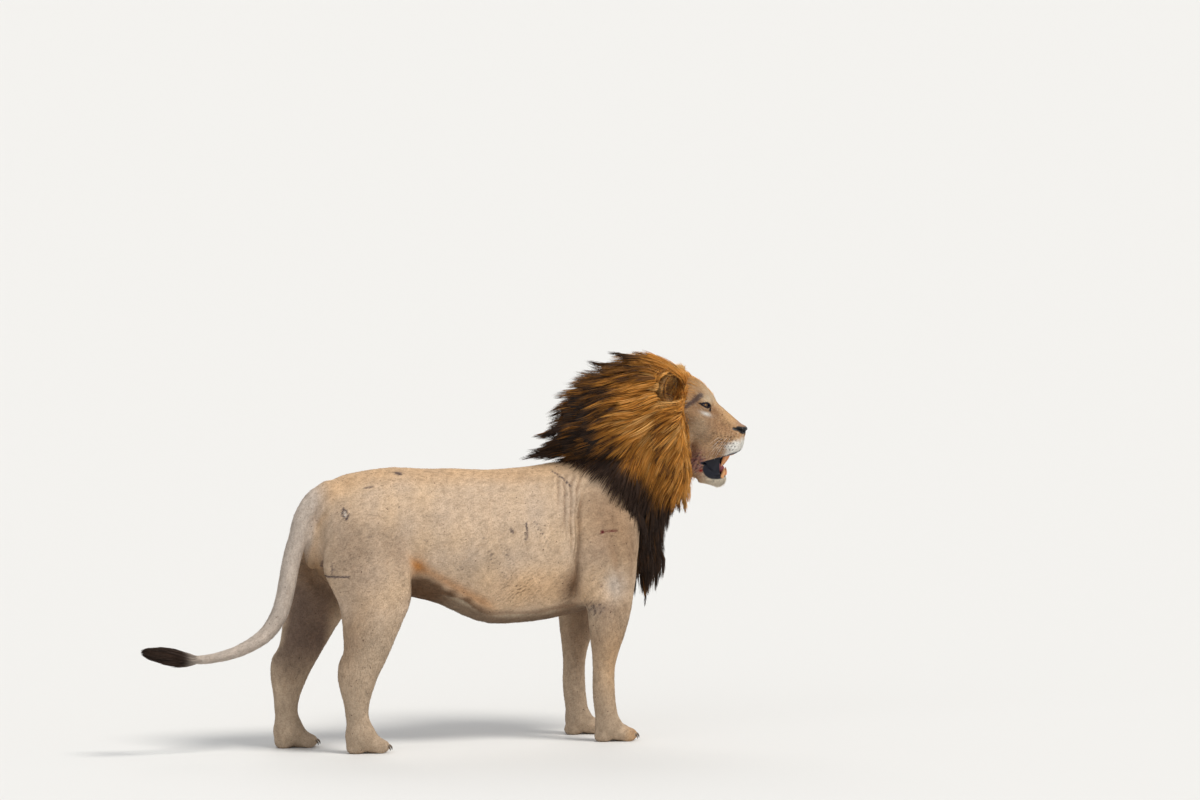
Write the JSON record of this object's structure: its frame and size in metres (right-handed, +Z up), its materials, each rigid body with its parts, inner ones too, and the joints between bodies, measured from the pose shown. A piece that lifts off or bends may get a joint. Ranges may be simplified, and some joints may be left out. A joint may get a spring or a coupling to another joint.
{
  "type": "lion",
  "caption": "Adult male lion standing with its head raised, mouth open, a long two-toned mane swept back and its tail hanging behind it.",
  "frame": {"origin": "middle of the object's box in plan, on the floor", "axes": "+X towards the animal's head, +Y to its left, +Z up"},
  "size_m": [2.6036, 0.5054, 1.5954],
  "materials": {
    "coat": "short pale sandy fur lying flat, warmer along the back and greyer on the flank",
    "pale_coat": "short pale greyish fur of the lower legs and paws",
    "tail_coat": "short greyish fur with fine darker flecks",
    "face_coat": "very short tan fur with dark flecks and rows of whisker spots",
    "chin_coat": "short white hair of the chin and lips",
    "tawny_hair": "long orange-tawny mane hair in locks",
    "brown_hair": "long brown mane hair, darker to the tips",
    "dark_hair": "long black-brown hair of the chest, withers and tail tuft",
    "black_skin": "moist black bare skin",
    "tongue": "moist pink",
    "eye": "amber iris with a small round black pupil under a clear wet cornea"
  },
  "bodies": {
    "root": {"trunk_front": "coat", "trunk_rear": "coat", "tail_base": "tail_coat", "tail_middle": "tail_coat", "tail_end": "tail_coat", "tail_tuft": "dark_hair", "nose": "black_skin", "head": "face_coat", "eye_right": "eye", "eye_left": "eye", "jaw": "chin_coat", "tongue": "tongue", "neck": "brown_hair", "ear_right": "tawny_hair", "ear_left": "tawny_hair", "mane_crown": "tawny_hair", "mane_chest": "dark_hair", "mane_withers": "dark_hair", "mane_cheek_right": "tawny_hair", "mane_neck_right": "brown_hair", "mane_cheek_left": "tawny_hair", "mane_neck_left": "brown_hair", "foreleg_right_upper": "coat", "foreleg_right_lower": "pale_coat", "foreleg_right_paw": "pale_coat", "foreleg_left_upper": "coat", "foreleg_left_lower": "pale_coat", "foreleg_left_paw": "pale_coat", "hindleg_right_upper": "coat", "hindleg_right_lower": "pale_coat", "hindleg_right_paw": "pale_coat", "hindleg_left_upper": "coat", "hindleg_left_lower": "pale_coat", "hindleg_left_paw": "pale_coat"}
  },
  "joints": []
}
